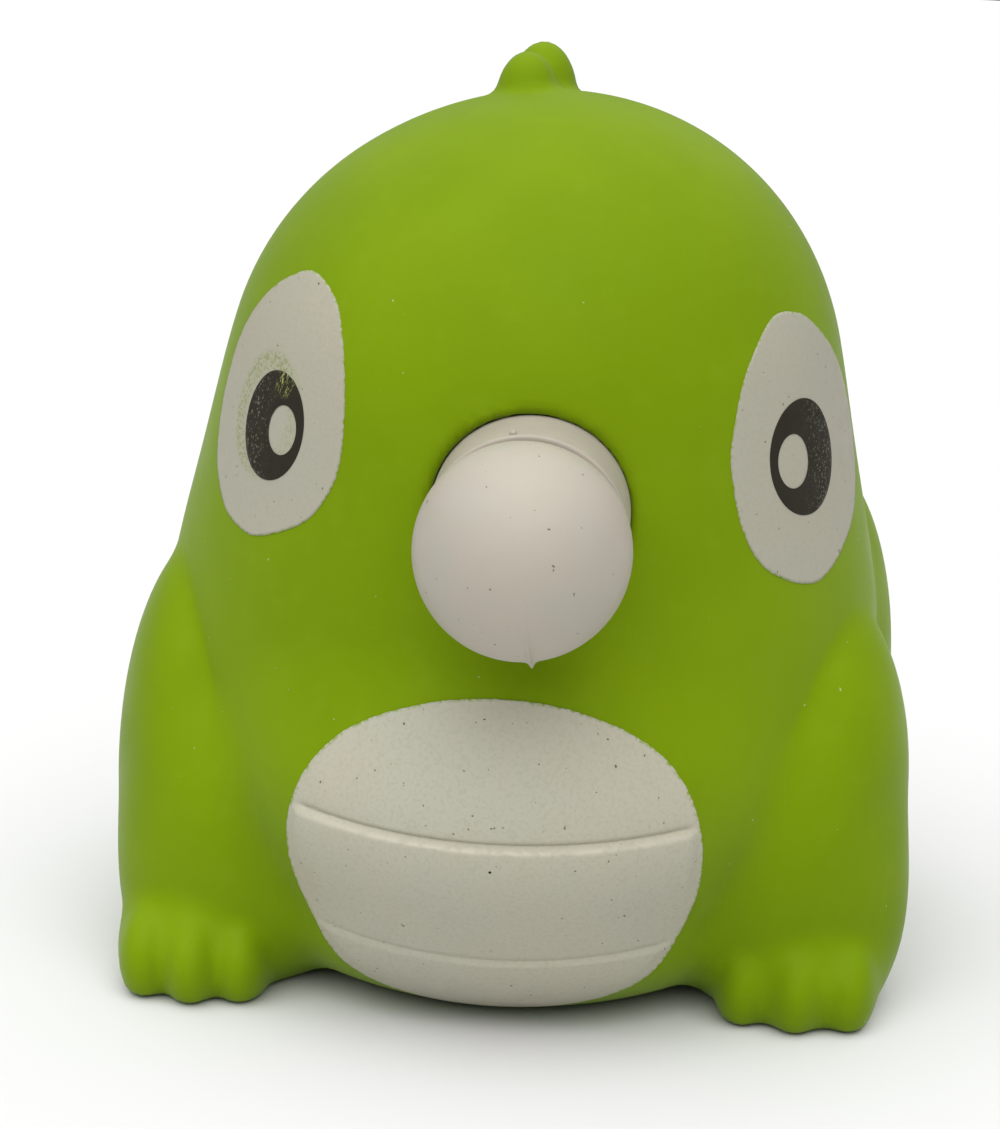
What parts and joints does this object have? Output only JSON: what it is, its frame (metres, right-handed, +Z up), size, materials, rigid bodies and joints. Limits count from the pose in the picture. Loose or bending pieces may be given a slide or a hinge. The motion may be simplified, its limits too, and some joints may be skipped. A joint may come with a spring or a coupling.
{
  "type": "squeeze popper toy",
  "caption": "Hollow soft vinyl dinosaur toy that shoots a foam ball from the barrel in its mouth when its belly is squeezed.",
  "frame": {"origin": "centre of the toy's box, ball included, on the surface it stands on", "axes": "+Z up, -Y the way the toy faces, +X to the toy's own left"},
  "size_m": [0.1093, 0.1332, 0.1275],
  "materials": {
    "green_vinyl": "soft matte vinyl",
    "grey_white_paint": "matte sprayed paint",
    "black_paint": "matte printed paint, worn",
    "white_plastic": "satin moulded plastic",
    "white_foam": "smooth-skinned foam"
  },
  "bodies": {
    "body": {"body_shell": "green_vinyl", "mouth_barrel": "white_plastic", "eye_white_left": "grey_white_paint", "eye_white_right": "grey_white_paint", "eye_ring_left": "black_paint", "eye_ring_right": "black_paint"},
    "belly": {"belly_wall": "green_vinyl", "belly_patch": "grey_white_paint"},
    "ball": {"ball": "white_foam"}
  },
  "joints": [
    {"name": "belly_squeeze", "type": "slide", "parent": "body", "child": "belly", "axis": [0, 1, 0], "range_m": [0, 0.007], "stiffness_N_per_m": 900},
    {"name": "ball_pop", "type": "slide", "parent": "body", "child": "ball", "axis": [0, -0.9877, -0.1564], "range_m": [0, 0.045]}
  ]
}
